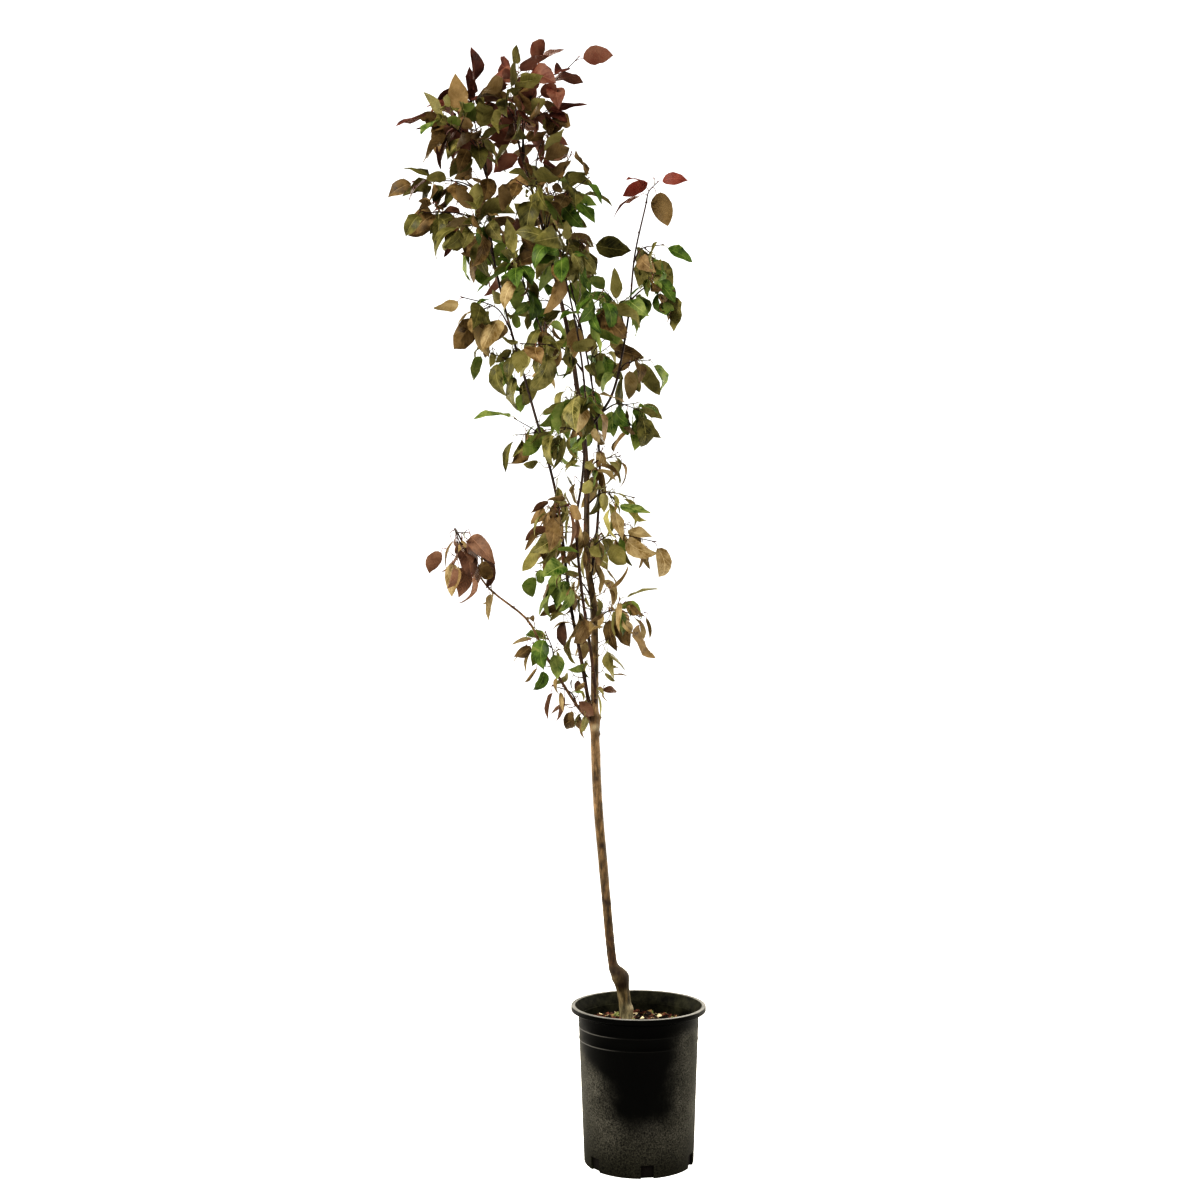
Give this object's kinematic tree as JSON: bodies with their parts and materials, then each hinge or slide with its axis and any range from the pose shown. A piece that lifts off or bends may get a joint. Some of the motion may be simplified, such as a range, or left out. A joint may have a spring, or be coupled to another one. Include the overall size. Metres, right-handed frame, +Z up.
{
  "type": "potted flowering crabapple tree",
  "caption": "Slender grafted crabapple tree in leaf, with a forked open crown of drooping leaves, growing in a tall black nursery pot of bark mix.",
  "frame": {"origin": "centre of the pot's flat underside", "axes": "+Z up, +X to the right as seen from the front, -Y towards the viewer in front"},
  "size_m": [0.6679, 0.5927, 2.3127],
  "materials": {
    "pot_plastic": "satin black, lightly dusty, greyer where the rim catches the light",
    "bark_mix": "damp dark potting mix with red-brown and tan bark chips",
    "bark": "smooth young grey-brown bark with darker node scars, olive lower down",
    "shoot_bark": "smooth dark red-brown young shoots",
    "leaf_burgundy": "burgundy leaf, softly glossy above and paler beneath",
    "leaf_brown": "brown leaf, softly glossy above and paler beneath",
    "leaf_olive": "olive leaf, softly glossy above and paler beneath",
    "leaf_green": "green leaf, softly glossy above and paler beneath",
    "leaf_tan": "tan leaf, softly glossy above and paler beneath",
    "leaf_yellow": "yellow leaf, softly glossy above and paler beneath",
    "leaf_red": "red leaf, softly glossy above and paler beneath",
    "leaf_maroon": "maroon leaf, softly glossy above and paler beneath"
  },
  "bodies": {
    "root": {"bough_back": "shoot_bark", "bough_front": "shoot_bark", "bough_left": "shoot_bark", "bough_low_left": "shoot_bark", "bough_right": "shoot_bark", "bough_upper_left": "shoot_bark", "foliage_apex": "leaf_burgundy", "foliage_back_left": "leaf_green", "foliage_back_middle": "leaf_green", "foliage_back_right": "leaf_olive", "foliage_back_tip": "leaf_olive", "foliage_crown_back": "leaf_burgundy", "foliage_crown_front": "leaf_brown", "foliage_far_left_high": "leaf_burgundy", "foliage_far_left_low": "leaf_brown", "foliage_far_left_middle": "leaf_brown", "foliage_fork_tuft": "leaf_maroon", "foliage_front_left": "leaf_olive", "foliage_front_middle": "leaf_green", "foliage_front_right": "leaf_green", "foliage_front_tip": "leaf_green", "foliage_front_waist": "leaf_brown", "foliage_left_belly_back": "leaf_green", "foliage_left_belly_front": "leaf_olive", "foliage_left_crown_back": "leaf_burgundy", "foliage_left_crown_front": "leaf_olive", "foliage_left_leader_tip": "leaf_burgundy", "foliage_left_pendant_high": "leaf_tan", "foliage_left_pendant_low": "leaf_olive", "foliage_left_pendant_middle": "leaf_green", "foliage_low_left_inner": "leaf_green", "foliage_low_left_sprig": "leaf_green", "foliage_low_left_tuft": "leaf_maroon", "foliage_low_right": "leaf_tan", "foliage_middle_left": "leaf_green", "foliage_middle_right": "leaf_tan", "foliage_middle_shoot": "leaf_brown", "foliage_right_droop": "leaf_green", "foliage_right_high": "leaf_olive", "foliage_right_inner": "leaf_green", "foliage_right_low": "leaf_olive", "foliage_right_outer": "leaf_green", "foliage_right_shoot": "leaf_brown", "foliage_right_tip": "leaf_red", "foliage_top_right_shoot": "leaf_burgundy", "foliage_upper_back": "leaf_brown", "foliage_upper_front": "leaf_olive", "foliage_upper_left": "leaf_brown", "foliage_upper_left_side": "leaf_olive", "foliage_upper_left_tip": "leaf_green", "foliage_upper_right": "leaf_green", "foliage_upper_right_back": "leaf_olive", "foliage_waist_back": "leaf_olive", "foliage_waist_left": "leaf_brown", "foliage_waist_right_high": "leaf_yellow", "foliage_waist_right_tip": "leaf_tan", "pot": "pot_plastic", "soil": "bark_mix", "trunk": "bark"}
  },
  "joints": []
}
